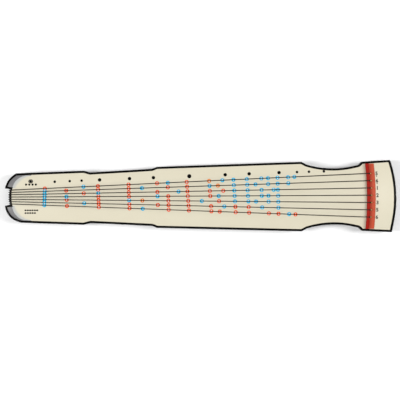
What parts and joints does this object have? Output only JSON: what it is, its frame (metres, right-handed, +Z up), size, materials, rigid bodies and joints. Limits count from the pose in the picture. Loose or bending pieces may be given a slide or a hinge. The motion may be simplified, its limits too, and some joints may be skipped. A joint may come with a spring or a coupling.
{
  "type": "seven-string zither",
  "caption": "Long hollow lacquered board zither on two feet, with silk strings over a bridge and tail nut, twisted tight by a row of pegs under its head.",
  "frame": {"origin": "on the table, under the middle of the soundbox", "axes": "+X along the strings towards the head and its bridge, +Y towards the side of the position dots and the thickest string, +Z up"},
  "size_m": [1.2241, 0.2264, 0.0994],
  "materials": {
    "cream_lacquer": "satin cream lacquer over wood",
    "black_lacquer": "polished black lacquer over wood",
    "dark_red_lacquer": "glossy dark red lacquer over hardwood",
    "light_red_lacquer": "satin light red lacquer over hardwood",
    "black_hardwood": "polished blackwood",
    "grey_lacquer": "satin grey lacquer over hardwood",
    "dark_hardwood": "oiled rosewood",
    "plain_wood": "bare fir",
    "wound_silk": "smooth wound silk",
    "twisted_silk": "twisted silk cord",
    "black_inlay": "black lacquer inlay, polished flush",
    "red_label": "printed paper",
    "blue_label": "printed paper"
  },
  "bodies": {
    "body": {"top_board": "cream_lacquer", "bottom_board": "black_lacquer", "bridge": "dark_red_lacquer", "string_hole_strip": "light_red_lacquer", "tail_nut": "black_hardwood", "tail_gum": "black_hardwood", "tail_corner_far": "grey_lacquer", "tail_corner_near": "grey_lacquer", "large_sound_hole_frame": "dark_hardwood", "small_sound_hole_frame": "dark_hardwood", "round_sound_post": "plain_wood", "square_sound_post": "plain_wood", "peg_plate": "dark_hardwood", "foot_far": "dark_hardwood", "foot_socket_far": "dark_hardwood", "string_ends_far": "wound_silk", "peg_guard_far": "dark_hardwood", "foot_near": "dark_hardwood", "foot_socket_near": "dark_hardwood", "string_ends_near": "wound_silk", "peg_guard_near": "dark_hardwood", "string_1": "wound_silk", "silk_loop_1": "twisted_silk", "string_2": "wound_silk", "silk_loop_2": "twisted_silk", "string_3": "wound_silk", "silk_loop_3": "twisted_silk", "string_4": "wound_silk", "silk_loop_4": "twisted_silk", "string_5": "wound_silk", "silk_loop_5": "twisted_silk", "string_6": "wound_silk", "silk_loop_6": "twisted_silk", "string_7": "wound_silk", "silk_loop_7": "twisted_silk", "string_knots": "wound_silk", "position_dots": "black_inlay", "note_labels_red": "red_label", "note_labels_blue": "blue_label"},
    "peg_1": {"peg_1": "dark_hardwood", "peg_wrap_1": "twisted_silk"},
    "peg_2": {"peg_2": "dark_hardwood", "peg_wrap_2": "twisted_silk"},
    "peg_3": {"peg_3": "dark_hardwood", "peg_wrap_3": "twisted_silk"},
    "peg_4": {"peg_4": "dark_hardwood", "peg_wrap_4": "twisted_silk"},
    "peg_5": {"peg_5": "dark_hardwood", "peg_wrap_5": "twisted_silk"},
    "peg_6": {"peg_6": "dark_hardwood", "peg_wrap_6": "twisted_silk"},
    "peg_7": {"peg_7": "dark_hardwood", "peg_wrap_7": "twisted_silk"}
  },
  "joints": [
    {"name": "peg_1_turn", "type": "hinge", "parent": "body", "child": "peg_1", "pos_m": [0.53194, 0.0711, 0.0458], "axis": [0, 0, 1], "continuous": true},
    {"name": "peg_2_turn", "type": "hinge", "parent": "body", "child": "peg_2", "pos_m": [0.53315, 0.0484, 0.0458], "axis": [0, 0, 1], "continuous": true},
    {"name": "peg_3_turn", "type": "hinge", "parent": "body", "child": "peg_3", "pos_m": [0.5339, 0.0257, 0.0458], "axis": [0, 0, 1], "continuous": true},
    {"name": "peg_4_turn", "type": "hinge", "parent": "body", "child": "peg_4", "pos_m": [0.5342, 0.003, 0.0458], "axis": [0, 0, 1], "continuous": true},
    {"name": "peg_5_turn", "type": "hinge", "parent": "body", "child": "peg_5", "pos_m": [0.53403, -0.0197, 0.0458], "axis": [0, 0, 1], "continuous": true},
    {"name": "peg_6_turn", "type": "hinge", "parent": "body", "child": "peg_6", "pos_m": [0.5334, -0.0424, 0.0458], "axis": [0, 0, 1], "continuous": true},
    {"name": "peg_7_turn", "type": "hinge", "parent": "body", "child": "peg_7", "pos_m": [0.53231, -0.0651, 0.0458], "axis": [0, 0, 1], "continuous": true}
  ]
}
